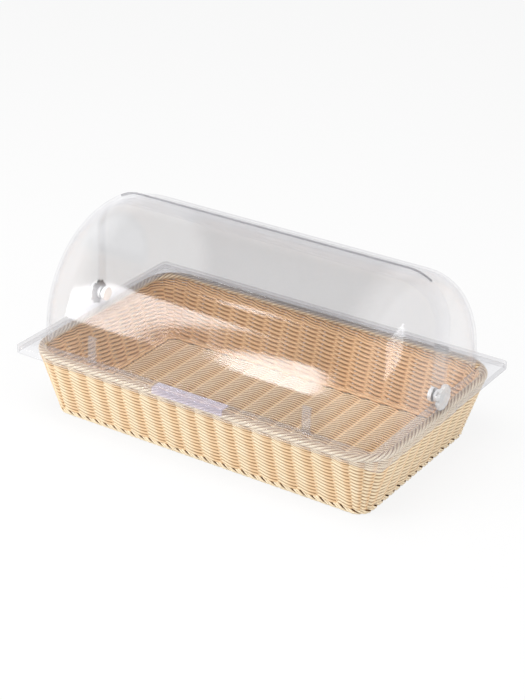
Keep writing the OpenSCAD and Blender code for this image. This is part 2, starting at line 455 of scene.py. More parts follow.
def plain_copy(source: bpy.types.Object, name: str) -> bpy.types.Object:
    """Turns an object with modifiers into a plain mesh of its result.

    Args:
        source: the object, which is removed.
        name: the result's name.

    Returns:
        The plain object.
    """
    bpy.context.view_layer.update()
    graph = bpy.context.evaluated_depsgraph_get()
    mesh = bpy.data.meshes.new_from_object(
        source.evaluated_get(graph), preserve_all_data_layers=True, depsgraph=graph
    )
    bpy.data.objects.remove(source)
    mesh.name = name
    return new_object(name, mesh)


def mesh_of(name: str, points: Sequence[Point], faces: Sequence[Sequence[int]]) -> bpy.types.Mesh:
    """Makes a closed mesh whose faces point outwards.

    Args:
        name: the mesh's name.
        points: the corners.
        faces: the faces, by corner number.

    Returns:
        The mesh.
    """
    mesh = bpy.data.meshes.new(name)
    mesh.from_pydata([tuple(p) for p in points], [], [tuple(f) for f in faces])
    work = bmesh.new()
    work.from_mesh(mesh)
    bmesh.ops.remove_doubles(work, verts=work.verts, dist=MERGE_DISTANCE)
    bmesh.ops.recalc_face_normals(work, faces=work.faces)
    work.to_mesh(mesh)
    work.free()
    return mesh


def shade(piece: bpy.types.Object, angle: float) -> None:
    """Shades a piece smooth, but for edges sharper than an angle in degrees."""
    piece.data.shade_smooth()
    piece.data.set_sharp_from_angle(angle=math.radians(angle))


def rounded(
    name: str, mesh: bpy.types.Mesh, width: float, segments: int, angle: float = 40.0
) -> bpy.types.Object:
    """Rounds a mesh's sharp edges and shades the rest smooth.

    Args:
        name: the piece's name.
        mesh: the mesh.
        width: the rounding's width.
        segments: the rounding's steps.
        angle: edges sharper than this, in degrees, are rounded.

    Returns:
        The piece as a plain mesh.
    """
    made = new_object(name + "_raw", mesh)
    bevel = made.modifiers.new("rounding", "BEVEL")
    bevel.width = width
    bevel.segments = segments
    bevel.limit_method = "ANGLE"
    bevel.angle_limit = math.radians(angle)
    piece = plain_copy(made, name)
    shade(piece, SMOOTH_ANGLE)
    return piece


def lofted(name: str, loops: Sequence[Sequence[Point]], ring: bool = False) -> bpy.types.Mesh:
    """Makes a closed mesh through loops that have the same number of points.

    Args:
        name: the mesh's name.
        loops: the loops in order.
        ring: whether the last loop joins the first. Else both are capped.

    Returns:
        The mesh.
    """
    count = len(loops[0])
    points = [point for loop in loops for point in loop]
    faces = []
    for k in range(len(loops) if ring else len(loops) - 1):
        low, high = k * count, (k + 1) % len(loops) * count
        for i in range(count):
            j = (i + 1) % count
            faces.append([low + i, low + j, high + j, high + i])
    if not ring:
        faces += [list(range(count)), list(range(len(points) - count, len(points)))]
    return mesh_of(name, points, faces)


# Finishes -----------------------------------------------------------------------------------

NUMBER, COLOUR = "NodeSocketFloat", "NodeSocketColor"


class SharedGroups:
    """Shader node groups that more than one finish uses."""

    # The grain: how often fibres and patches change along and across a strand, how far apart
    # two strands read the noise, and what share each has in the deeper colour.
    FIBRE_RUN, FIBRE_SIDE, PATCH_RUN, STRAND_SHIFT = 90.0, 5.0, 9.0, 37.0
    FIBRE_SHARE, PATCH_SHARE, TONE_SHARE = 0.35, 0.35, 0.3
    # The three bands: where fibres and patches turn deep, where painted shade lies over part of
    # each swing, and where painted warm bounce light lies on a strand's inner side. The relief
    # below is how much that painted light eases the painted crevice shade.
    DEEP_BAND, TUCK_BAND, INWARD_BAND = (0.35, 0.7), (0.45, 0.95), (-0.3, 0.5)
    INNER_LIGHT_RELIEF = 0.25
    SMOOTHEST, ROUGHER = 0.34, 0.25
    # The handling marks: wipes drawn out along one way, and finer specks.
    WIPE_STRETCH, WIPE_BAND = (1.0, 0.25, 0.6), (0.45, 0.8)
    SPECK_SCALE, SPECK_SHARE, SPECK_BAND = 14.0, 0.4, (0.62, 0.8)

    def __init__(self) -> None:
        """Builds both groups."""
        self.grain_and_shade = self._strand_grain_and_shade()
        self.handling = self._handling_marks()

    @staticmethod
    def _start(
        name: str, inputs: dict[str, str], outputs: dict[str, str]
    ) -> tuple[Graph, bpy.types.bpy_prop_collection]:
        """Starts a group.

        Args:
            name: the group's name.
            inputs: each input's kind.
            outputs: each output's kind.

        Returns:
            The graph and its input sockets.
        """
        tree = bpy.data.node_groups.new(name, "ShaderNodeTree")
        for way, sockets in (("INPUT", inputs), ("OUTPUT", outputs)):
            for key, kind in sockets.items():
                tree.interface.new_socket(name=key, in_out=way, socket_type=kind)
        g = Graph(tree)
        return g, g.add("NodeGroupInput").outputs

    def _strand_grain_and_shade(self) -> bpy.types.NodeTree:
        """Writes the group that colours a strand along its own length.

        Fine fibres and slow patches run along it. Painted shade darkens it over the part of each
        swing where it goes behind or under its neighbours, painted warm bounce light colours its
        inner side, and painted crevice shade darkens its sides and recessed parts where it meets
        the next strand.

        Returns:
            The group.
        """
        colours = ("Pale", "Deep", "Painted tuck shade", "Painted inner light", "Painted crevice shade")
        numbers = (
            "Shade side start",
            "Shade reach low",
            "Shade reach high",
            "Painted crevice shade share",
            "Painted tuck shade share",
            "Painted inner light share",
        )
        g, entry = self._start(
            "strand_grain_and_shade",
            {**dict.fromkeys(colours, COLOUR), **dict.fromkeys(numbers, NUMBER)},
            {"Colour": COLOUR, "Height": NUMBER, "Roughness": NUMBER},
        )
        run, side, tone, reach, tuck, inward = (
            g.add("ShaderNodeAttribute", attribute_name=name).outputs["Fac"]
            for name in ("run", "side", "tone", "reach", "tuck", "inward")
        )
        shift = g.maths("MULTIPLY", tone, self.STRAND_SHIFT)
        along = g.maths("MULTIPLY", run, self.FIBRE_RUN)
        across = g.maths("MULTIPLY", side, self.FIBRE_SIDE)
        place = g.add("ShaderNodeCombineXYZ", {0: along, 1: across, 2: shift}).outputs[0]
        fibre = g.noise(place, 1.0, detail=3.0, roughness=0.6)["Fac"]
        slow = g.maths("MULTIPLY", run, self.PATCH_RUN)
        place = g.add("ShaderNodeCombineXYZ", {0: slow, 1: shift}).outputs[0]
        patch = g.noise(place, 1.0)["Fac"]
        share = g.maths("MULTIPLY", g.ramp(fibre, *self.DEEP_BAND), self.FIBRE_SHARE)
        patch = g.ramp(patch, *self.DEEP_BAND)
        share = g.maths("MULTIPLY_ADD", patch, self.PATCH_SHARE, share)
        share = g.maths("MULTIPLY_ADD", tone, self.TONE_SHARE, share)
        base = g.mix(share, entry["Pale"], entry["Deep"])
        # Painted shade: darker and warmer over one part of each swing of the strand, the part where
        # it goes behind or under its neighbours.
        under = g.maths("MULTIPLY", g.ramp(tuck, *self.TUCK_BAND), entry["Painted tuck shade share"])
        base = g.mix(under, base, entry["Painted tuck shade"])
        # Painted light: warm bounce light on the side of the strand that faces inward.
        inner = g.maths("MULTIPLY", g.ramp(inward, *self.INWARD_BAND), entry["Painted inner light share"])
        base = g.mix(inner, base, entry["Painted inner light"])
        # Painted crevice shade: darker on the strand's sides, where it meets the next row, and on
        # its recessed parts, eased where the painted inner light lies.
        side_shade = g.add("ShaderNodeMapRange", {"Value": side, 1: entry["Shade side start"], 2: 1.0})
        recess_shade = g.add(
            "ShaderNodeMapRange",
            {"Value": reach, 1: entry["Shade reach low"], 2: entry["Shade reach high"], 3: 1.0, 4: 0.0},
        )
        hollow = g.maths("MAXIMUM", side_shade.outputs[0], recess_shade.outputs[0])
        hollow = g.maths("MULTIPLY", hollow, entry["Painted crevice shade share"])
        inner_light_relief = g.maths("MULTIPLY_ADD", inner, -self.INNER_LIGHT_RELIEF, 1.0)
        hollow = g.maths("MULTIPLY", hollow, inner_light_relief)
        ends = {
            "Colour": g.mix(hollow, base, entry["Painted crevice shade"]),
            "Height": fibre,
            "Roughness": g.maths("MULTIPLY_ADD", fibre, self.ROUGHER, self.SMOOTHEST),
        }
        g.add("NodeGroupOutput", ends)
        return g.tree

    def _handling_marks(self) -> bpy.types.NodeTree:
        """Writes the group of faint wipe marks and specks on a hard surface.

        Returns:
            The group.
        """
        g, entry = self._start(
            "handling_marks",
            {"Amount": NUMBER, "Scale": NUMBER},
            {"Mask": NUMBER, "Height": NUMBER},
        )
        place = g.add("ShaderNodeTexCoord").outputs["Object"]
        stretched = g.vector("MULTIPLY", a=place, b=self.WIPE_STRETCH)
        wipes = g.noise(stretched, entry["Scale"], detail=5.0)["Fac"]
        fine = g.maths("MULTIPLY", entry["Scale"], self.SPECK_SCALE)
        specks = g.ramp(g.noise(place, fine)["Fac"], *self.SPECK_BAND)
        mask = g.ramp(wipes, *self.WIPE_BAND)
        mask = g.maths("MULTIPLY_ADD", specks, self.SPECK_SHARE, mask)
        mask = g.maths("MULTIPLY", mask, entry["Amount"])
        g.add("NodeGroupOutput", {"Mask": mask, "Height": wipes})
        return g.tree


def new_material(name: str) -> tuple[bpy.types.Material, Graph]:
    """Starts an empty node material.

    Args:
        name: the material's name.

    Returns:
        The material and its graph.
    """
    made = bpy.data.materials.new(name)
    made.use_nodes = True
    made.node_tree.nodes.clear()
    return made, Graph(made.node_tree)


@dataclass(frozen=True)
class StrandFinish:
    """Satin plastic strand in natural wicker colours, with painted shade in its crevices and where
    it passes behind, and painted warm bounce light on its inner side.
    """

    name: str
    pale: Colour
    deep: Colour
    # The next three colours are painted light and shade: shade in the crevices between strands,
    # shade where a strand passes behind, and warm bounce light on its inner side. The side start,
    # reach band and shares below set where and how strongly they lie.
    painted_crevice_shade: Colour = (0.34, 0.16, 0.055)
    painted_tuck_shade: Colour = (0.86, 0.55, 0.28)
    inner: Colour = (0.96, 0.65, 0.38)
    shade_side_start: float = 0.3
    reach: tuple[float, float] = (0.0, 0.35)
    painted_crevice_shade_share: float = 0.95
    painted_tuck_shade_share: float = 0.6
    painted_inner_light_share: float = 0.0
    bump: float = 0.25
    bump_depth: float = 0.0003
    specular: float = 0.4

    def build(self, groups: SharedGroups) -> bpy.types.Material:
        """Builds the material, with its grain and painted shade from the shared group.

        Args:
            groups: the shared groups.

        Returns:
            The material.
        """
        made, g = new_material(self.name)
        grain_and_shade = g.add(
            "ShaderNodeGroup",
            {
                "Pale": rgba(self.pale),
                "Deep": rgba(self.deep),
                "Painted tuck shade": rgba(self.painted_tuck_shade),
                "Painted inner light": rgba(self.inner),
                "Painted crevice shade": rgba(self.painted_crevice_shade),
                "Shade side start": self.shade_side_start,
                "Shade reach low": self.reach[0],
                "Shade reach high": self.reach[1],
                "Painted crevice shade share": self.painted_crevice_shade_share,
                "Painted tuck shade share": self.painted_tuck_shade_share,
                "Painted inner light share": self.painted_inner_light_share,
            },
            node_tree=groups.grain_and_shade,
        ).outputs
        bump = g.add(
            "ShaderNodeBump",
            {"Strength": self.bump, "Distance": self.bump_depth, "Height": grain_and_shade["Height"]},
        )
        skin = {
            "Base Color": grain_and_shade["Colour"],
            "Roughness": grain_and_shade["Roughness"],
            "Normal": bump.outputs[0],
            "Specular IOR Level": self.specular,
        }
        g.surface(g.add("ShaderNodeBsdfPrincipled", skin))
        return made


@dataclass(frozen=True)
class ClearFinish:
    """Clear moulded plastic: it dims what is behind it a little, and mirrors its surroundings.

    The see-through layer has one tint face on and another at its edges. Where an undimmed tint is
    given, it takes the first one's place towards the ends of a piece and ahead of the undimmed
    edge; the darker tint left across the rest is painted shade for the reflection of the dim
    studio. The gloss covers a share of veil everywhere, and more by shine where the surface turns
    away.
    """

    name: str
    tint: Colour
    edge_tint: Colour
    body: Colour
    veil: float
    shine: float
    mirror: float
    roughness: float = 0.12
    edge_power: float = 7.0
    marks: float = 1.0
    mark_scale: float = 30.0
    mark_dulling: float = 0.06
    ripple: float = 0.05
    ripple_depth: float = 0.0005
    face_on: float = 0.04
    fade: tuple[float, float] = (0.82, 0.97)
    undimmed_tint: Colour | None = None
    undimmed_ends: tuple[float, float] = (0.16, 0.205)
    undimmed_edge: tuple[float, float] | None = None

    def _tint_with_painted_dimming(self, g: Graph) -> object:
        """Returns the tint, paler towards the ends and the front edge where that is given;
        the darker middle left is painted shade for the reflection of the dim studio.

        Args:
            g: the material's graph.

        Returns:
            The tint, as four numbers or a socket.
        """
        if self.undimmed_tint is None:
            return rgba(self.tint)
        place = g.add("ShaderNodeTexCoord").outputs["Object"]
        axes = g.add("ShaderNodeSeparateXYZ", {0: place}).outputs
        pale = g.ramp(g.maths("ABSOLUTE", axes["X"]), *self.undimmed_ends)
        if self.undimmed_edge is not None:
            near = g.maths("SUBTRACT", 1.0, g.ramp(axes["Y"], *self.undimmed_edge))
            pale = g.maths("MAXIMUM", pale, near)
        return g.mix(pale, rgba(self.tint), rgba(self.undimmed_tint))

    def build(self, groups: SharedGroups) -> bpy.types.Material:
        """Builds the material: a see-through layer under a share of gloss.

        Args:
            groups: the shared groups.

        Returns:
            The material.
        """
        made, g = new_material(self.name)
        marks = g.add(
            "ShaderNodeGroup",
            {"Amount": self.marks, "Scale": self.mark_scale},
            node_tree=groups.handling,
        ).outputs
        facing = g.add("ShaderNodeLayerWeight", {"Blend": 0.5}).outputs["Facing"]
        edge = g.maths("POWER", facing, self.edge_power)
        tint = g.mix(edge, self._tint_with_painted_dimming(g), rgba(self.edge_tint))
        see = g.add("ShaderNodeBsdfTransparent", {"Color": tint})
        bump = g.add(
            "ShaderNodeBump",
            {"Strength": self.ripple, "Distance": self.ripple_depth, "Height": marks["Height"]},
        )
        gloss = g.add(
            "ShaderNodeBsdfPrincipled",
            {
                "Base Color": rgba(self.body),
                "Metallic": self.mirror,
                "Roughness": g.maths(
                    "MULTIPLY_ADD", marks["Mask"], self.mark_dulling, self.roughness
                ),
                "Normal": bump.outputs[0],
            },
        )
        steep = g.maths("POWER", facing, 5.0)
        sheen = g.maths("MULTIPLY_ADD", steep, 1.0 - self.face_on, self.face_on)
        fade = g.maths("SUBTRACT", 1.0, g.ramp(facing, *self.fade))
        share = g.maths("MULTIPLY_ADD", g.maths("MULTIPLY", sheen, fade), self.shine, self.veil)
        both = {0: share, 1: see.outputs[0], 2: gloss.outputs[0]}
        g.surface(g.add("ShaderNodeMixShader", both))
        return made


@dataclass(frozen=True)
class WireFinish:
    """Drawn steel wire, darkened and browned: painted shade and painted reflection of the weave
    round it.
    """

    name: str
    colour: Colour
    roughness: float = 0.5
    mark_scale: float = 120.0
    mark_shade: float = 0.6
    mark_dulling: float = 0.2

    def build(self, groups: SharedGroups) -> bpy.types.Material:
        """Builds the material, dulled by handling.

        Args:
            groups: the shared groups.

        Returns:
            The material.
        """
        made, g = new_material(self.name)
        mask = g.add(
            "ShaderNodeGroup",
            {"Amount": 1.0, "Scale": self.mark_scale},
            node_tree=groups.handling,
        ).outputs["Mask"]
        dark = tuple(self.mark_shade * part for part in self.colour)
        skin = {
            "Base Color": g.mix(mask, rgba(self.colour), rgba(dark)),
            "Metallic": 1.0,
            "Roughness": g.maths("MULTIPLY_ADD", mask, self.mark_dulling, self.roughness),
        }
        g.surface(g.add("ShaderNodeBsdfPrincipled", skin))
        return made


@dataclass
class Finishes:
    """Every material of the bin."""

    strand: bpy.types.Material
    floor: bpy.types.Material
    border: bpy.types.Material
    foot_border: bpy.types.Material
    stake: bpy.types.Material
    wire: bpy.types.Material
    cover: bpy.types.Material
    rear_cover: bpy.types.Material
    cut_edge: bpy.types.Material
    frame: bpy.types.Material
    handle: bpy.types.Material
    guide: bpy.types.Material
    knob: bpy.types.Material
    nut: bpy.types.Material


def build_finishes() -> Finishes:
    """Builds the materials from their finishes.

    Returns:
        The materials.
    """
    # The wall strand takes painted warm bounce light on the side that faces into the basket.
    strand = StrandFinish(
        "wicker_strand", pale=(0.935, 0.80, 0.58), deep=(0.90, 0.725, 0.475), painted_inner_light_share=0.9
    )
    # The floor strand is a darker copy of the wall strand: its darker colours are painted shade for
    # the inside of the basket, and its crevice colour is painted shade between its rows.
    floor = replace(
        strand,
        name="wicker_floor_shaded",
        pale=(0.86, 0.70, 0.49),
        deep=(0.82, 0.625, 0.40),
        painted_crevice_shade=(0.24, 0.10, 0.03),
        shade_side_start=0.5,
        painted_crevice_shade_share=1.0,
        painted_inner_light_share=0.0,
    )
    # In both borders the crevice colour is painted shade between the rope's strands, and the tuck
    # share is painted shade where they pass under.
    border = StrandFinish(
        "wicker_top_border",
        pale=(0.95, 0.84, 0.65),
        deep=(0.90, 0.75, 0.53),
        painted_crevice_shade=(0.30, 0.16, 0.07),
        shade_side_start=1.0,
        reach=(0.74, 0.98),
        painted_crevice_shade_share=0.9,
        painted_tuck_shade_share=0.15,
    )
    foot_border = replace(
        border,
        name="wicker_foot_border",
        pale=(0.96, 0.84, 0.63),
        deep=(0.91, 0.75, 0.51),
        painted_crevice_shade=(0.26, 0.12, 0.04),
        reach=(0.68, 0.96),
        painted_crevice_shade_share=0.95,
        painted_tuck_shade_share=0.2,
    )
    stake = StrandFinish(
        "wicker_stake",
        pale=(0.66, 0.42, 0.21),
        deep=(0.50, 0.29, 0.13),
        painted_crevice_shade_share=0.0,
        painted_tuck_shade_share=0.0,
    )
    # The cover's darker middle against its paler ends is painted shade, standing for the reflection
    # of the dim studio.
    cover = ClearFinish(
        "clear_cover",
        tint=(0.90, 0.90, 0.903),
        edge_tint=(0.78, 0.78, 0.80),
        body=(0.94, 0.94, 0.97),
        veil=0.008,
        shine=0.85,
        mirror=0.85,
        roughness=0.09,
        edge_power=16.0,
        ripple=0.02,
        undimmed_tint=(0.985, 0.985, 0.987),
    )
    cut_edge = ClearFinish(
        "cover_cut_edge",
        tint=(0.42, 0.42, 0.44),
        edge_tint=(0.2, 0.2, 0.22),
        body=(0.4, 0.4, 0.43),
        veil=0.15,
        shine=0.8,
        mirror=0.5,
    )
    base = ClearFinish(
        "clear_frame",
        tint=(0.955, 0.955, 0.962),
        edge_tint=(0.2, 0.2, 0.22),
        body=(0.95, 0.95, 0.97),
        veil=0.06,
        shine=0.8,
        mirror=0.4,
        edge_power=4.5,
        ripple=0.01,
    )
    handle = ClearFinish(
        "clear_handle",
        tint=(0.90, 0.89, 0.94),
        edge_tint=(0.6, 0.6, 0.66),
        body=(0.86, 0.84, 0.95),
        veil=0.17,
        shine=0.8,
        mirror=0.2,
        marks=0.1,
        ripple=0.0,
    )
    knob = ClearFinish(
        "clear_knob",
        tint=(0.985, 0.985, 0.99),
        edge_tint=(0.25, 0.25, 0.28),
        body=(1.0, 1.0, 1.0),
        veil=0.38,
        shine=0.8,
        mirror=0.2,
        edge_power=2.0,
        marks=0.1,
        ripple=0.0,
    )
    looks = {
        "strand": strand,
        "floor": floor,
        "border": border,
        "foot_border": foot_border,
        "stake": stake,
        # Its dark brown colour is painted shade and a painted reflection of the weave that hides
        # the wire.
        "wire": WireFinish("steel_wire_shaded", colour=(0.40, 0.31, 0.22)),
        "cover": cover,
        # The rear cover's darker middle against its paler ends and front edge is painted shade,
        # standing for the reflection of the dim studio.
        "rear_cover": replace(
            cover, name="clear_rear_cover", tint=(0.915, 0.915, 0.92), undimmed_edge=(0.02, 0.08)
        ),
        "cut_edge": cut_edge,
        "frame": base,
        "handle": handle,
        "guide": replace(
            cover, name="clear_guide", tint=(0.98, 0.98, 0.985), undimmed_tint=None, veil=0.16
        ),
        "knob": knob,
        "nut": replace(knob, name="clear_nut", veil=0.93, shine=0.1),
    }
    groups = SharedGroups()
    return Finishes(**{part: look.build(groups) for part, look in looks.items()})


# The basket ---------------------------------------------------------------------------------

UPWARD, REARWARD = (0.0, 0.0, 1.0), (0.0, 1.0, 0.0)


@dataclass
class BasketRing:
    """The way round the basket: a rectangle of corner centres with round corners outside it."""

    half_x: float = 0.211
    half_y: float = 0.1085
    stake_pitch: float = 0.0275
    front_stakes: int = 16
    end_stakes: int = 8
    corner_stakes: int = 3
    mean_offset: float = 0.035
    fine_samples: int = 4001

    def __post_init__(self) -> None:
        """Lays out the eight stretches of the ring and the places of its stakes."""
        self.stretches: list[tuple[float, float, Stretch]] = []
        self.stakes: list[float] = []
        done = 0.0
        for side in range(4):
            half, far = (
                (self.half_x, self.half_y) if side % 2 == 0 else (self.half_y, self.half_x)
            )
            count = self.front_stakes if side % 2 == 0 else self.end_stakes
            heading = math.radians(90 * side)
            along = (math.cos(heading), math.sin(heading))
            out = (math.sin(heading), -math.cos(heading))
            start = [far * out[i] - half * along[i] for i in (0, 1)]
            self.stretches.append((done, 2 * half, self._straight(start, along, out)))
            middle = (count - 1) / 2
            self.stakes += [done + half + (i - middle) * self.stake_pitch for i in range(count)]
            done += 2 * half
            corner = [far * out[i] + half * along[i] for i in (0, 1)]
            arc = self.mean_offset * math.pi / 2
            self.stretches.append((done, arc, self._corner(corner, heading)))
            steps = self.corner_stakes + 1
            self.stakes += [done + arc * i / steps for i in range(1, steps)]
            done += arc
        self.length = done

    @staticmethod
    def _straight(start: Sequence[float], along: Sequence[float], out: Sequence[float]) -> Stretch:
        """Describes a straight stretch.

        Args:
            start: where it begins, in X and Y.
            along: its direction.
            out: its outward direction.

        Returns:
            The function from a distance to a place and an outward direction.
        """

        def place(s: float) -> tuple[Point, Point]:
            """Returns the centre and the outward direction at a distance."""
            return (start[0] + s * along[0], start[1] + s * along[1], 0.0), (out[0], out[1], 0.0)

        return place

    def _corner(self, centre: Sequence[float], heading: float) -> Stretch:
        """Describes a corner.

        Args:
            centre: its centre, in X and Y.
            heading: the direction of the stretch before it, in radians.

        Returns:
            The function from a distance to a place and an outward direction.
        """

        def place(s: float) -> tuple[Point, Point]:
            """Returns the centre and the outward direction at a distance."""
            turn = heading - math.pi / 2 + s / self.mean_offset
            return (centre[0], centre[1], 0.0), (math.cos(turn), math.sin(turn), 0.0)

        return place

    def at(self, s: float) -> tuple[Point, Point]:
        """Finds the place at a distance along the way round.

        Args:
            s: the distance.

        Returns:
            The corner centre line's point and the outward direction there.
        """
        s = s % self.length
        for start, size, place in self.stretches:
            if s < start + size:
                return place(s - start)
        return self.stretches[-1][2](self.stretches[-1][1])

    def _guide(self, distances: np.ndarray, turn: np.ndarray) -> Guide:
        """Makes a closed guide.

        Args:
            distances: where its samples lie along the way round.
            turn: how far its strand has turned at each, in whole turns.

        Returns:
            The guide.
        """
        places = [self.at(float(s)) for s in distances]
        centre, normal = (np.array(part) for part in zip(*places))
        return Guide(centre, normal, np.tile(UPWARD, (len(places), 1)), turn, True)

    def twined(self, strands: int, per_stake: int) -> list[Guide]:
        """Makes the guides of strands that pass in front of and behind the stakes in turn.

        Args:
            strands: how many strands a row is twined from.
            per_stake: samples from one stake to the next.

        Returns:
            One guide for each strand.
        """
        count = len(self.stakes)
        knots = np.array([*self.stakes, self.stakes[0] + self.length])
        phase = np.arange(count * per_stake) / per_stake
        distances = np.interp(phase, np.arange(count + 1), knots)
        return [
            self._guide(distances, phase / strands + strand / strands)
            for strand in range(strands)
        ]

    def laid(self, shares: Sequence[float], turns: int, samples: int, offset: float) -> list[Guide]:
        """Makes the guides of strands that wind round one line, as in a rope.

        Args:
            shares: where each strand starts, as a share of a turn.
            turns: full turns on the way round, negative for the other hand.
            samples: points on the way round.
            offset: how far the line lies outside the corner centres.

        Returns:
            One guide for each strand.
        """
        fine = np.linspace(0.0, self.length, self.fine_samples)
        points = np.array([np.add(c, np.multiply(n, offset)) for c, n in map(self.at, fine)])
        steps = np.linalg.norm(np.diff(points, axis=0), axis=1)
        walked = np.concatenate([[0.0], np.cumsum(steps)])
        share = np.arange(samples) / samples
        distances = np.interp(share * walked[-1], walked, fine)
        return [self._guide(distances, share * turns + start) for start in shares]


@dataclass
class Basket:
    """The woven basket: floor, wall, top border and foot border."""

    ring: BasketRing
    foot_offset: float = 0.020
    slope: float = 0.029 / 0.095
    wall_thickness: float = 0.009
    floor_z: float = 0.005
    floor_overhang: float = 0.0115
    floor_samples: int = 121
    samples_per_stake: int = 8
    top_strands: int = 6
    top_turns: int = 29
    top_samples: int = 600
    foot_pairs: int = 3
    foot_pair_gap: float = 0.12
    foot_turns: int = -33
    foot_samples: int = 660
    wall_rows: Lay = Lay(
        rows=13,
        first=0.0110,
        pitch=0.0053,
        swing_out=0.0023,
        swing_up=-0.0014,
        width=0.0033,
        height=0.0053,
    )
    doubled_row: Lay = Lay(
        rows=3,
        first=0.0783,
        pitch=0.0034,
        swing_out=0.0029,
        swing_up=-0.0018,
        width=0.0031,
        height=0.0029,
        seed=11,
    )
    foot_row: Lay = Lay(
        first=0.0096,
        offset=0.0134,
        swing_out=0.0010,
        swing_up=-0.0008,
        width=0.0042,
        height=0.0040,
        seed=13,
    )
    floor_rows: Lay = Lay(
        rows=45,
        pitch=0.0053,
        swing_out=0.0021,
        swing_up=0.0012,
        width=0.0043,
        height=0.0034,
        seed=5,
    )
    top_rope: Lay = Lay(
        first=0.090,
        offset=0.042,
        swing_out=0.0036,
        swing_up=0.0030,
        width=0.0036,
        height=0.0036,
        sides=7,
        roundness=1.0,
        seed=7,
    )
    foot_rope: Lay = Lay(
        first=0.0059,
        offset=0.0171,
        swing_out=0.0030,
        swing_up=0.0042,
        width=0.0032,
        height=0.0032,
        roundness=1.0,
        seed=9,
    )

    def wall(self, strands: StrandTree, finish: bpy.types.Material) -> list[bpy.types.Object]:
        """Twines the wall, with a doubled row at its top and one row where it meets the floor.

        Args:
            strands: the tree that lays strands.
            finish: the strands' material.

        Returns:
            The wall's pieces.
        """
        sloped = {"offset": self.foot_offset - self.wall_thickness / 2, "lean": self.slope}
        guides = self.ring.twined(strands=2, per_stake=self.samples_per_stake)
        rows = {
            "woven_wall_rows": replace(self.wall_rows, **sloped),
            "woven_wall_top_row": replace(self.doubled_row, **sloped),
            "woven_wall_foot_row": self.foot_row,
        }
        return [strands.lay(name, guides, lay, finish) for name, lay in rows.items()]

    def floor(self, strands: StrandTree, finish: bpy.types.Material) -> bpy.types.Object:
        """Twines the floor along the length of the basket.

        Args:
            strands: the tree that lays strands.
            finish: the strands' material.

        Returns:
            The floor's piece.
        """
        half = self.ring.half_x + self.floor_overhang
        along = np.linspace(-half, half, self.floor_samples)
        turn = (along / self.ring.stake_pitch + 0.5) / 2
        centre = np.stack([along, 0.0 * along, np.full(len(along), self.floor_z)], axis=1)
        up, rear = (np.tile(way, (len(along), 1)) for way in (UPWARD, REARWARD))
        guides = [Guide(centre, up, rear, turn + half_turn, False) for half_turn in (0.0, 0.5)]
        span = self.floor_rows.pitch * (self.floor_rows.rows - 1)
        centred = replace(self.floor_rows, first=-span / 2)
        return strands.lay("woven_floor_rows", guides, centred, finish)

    def top_border(self, strands: StrandTree, finish: bpy.types.Material) -> bpy.types.Object:
        """Lays the rope-like border along the top edge, from single strands.

        Args:
            strands: the tree that lays strands.
            finish: the strands' material.

        Returns:
            The border's piece.
        """
        shares = [strand / self.top_strands for strand in range(self.top_strands)]
        offset = self.top_rope.offset
        guides = self.ring.laid(shares, self.top_turns, self.top_samples, offset)
        return strands.lay("top_border_rope", guides, self.top_rope, finish)

    def foot_border(self, strands: StrandTree, finish: bpy.types.Material) -> bpy.types.Object:
        """Lays the thicker border that the basket stands on, from pairs of strands.

        Args:
            strands: the tree that lays strands.
            finish: the strands' material.

        Returns:
            The border's piece.
        """
        middles = [pair / self.foot_pairs for pair in range(self.foot_pairs)]
        sides = (-self.foot_pair_gap / 2, self.foot_pair_gap / 2)
        shares = [middle + side for middle in middles for side in sides]
        offset = self.foot_rope.offset
        guides = self.ring.laid(shares, self.foot_turns, self.foot_samples, offset)
        return strands.lay("foot_border_rope", guides, self.foot_rope, finish)

    def build(self, finishes: Finishes) -> None:
        """Makes the woven pieces and seats them in the place of their solids.

        Args:
            finishes: the bin's materials.
        """
        strands = StrandTree()
        pieces = [(piece, "woven_wall") for piece in self.wall(strands, finishes.strand)]
        pieces.append((self.floor(strands, finishes.floor), "woven_floor"))
        pieces.append((self.top_border(strands, finishes.border), "top_border"))
        pieces.append((self.foot_border(strands, finishes.foot_border), "foot_border"))
        for piece, node in pieces:
            place_piece(piece, Body.BASKET, Slot.WEAVE, node)
        for node in ("cross_stakes", "end_stakes", "corner_stakes"):
            dress_node(node, finishes.stake)
        for node in ("rim_hoop", "foot_hoop"):
            dress_node(node, finishes.wire)


# The clear cover ----------------------------------------------------------------------------

PIVOT_Z = 0.1145


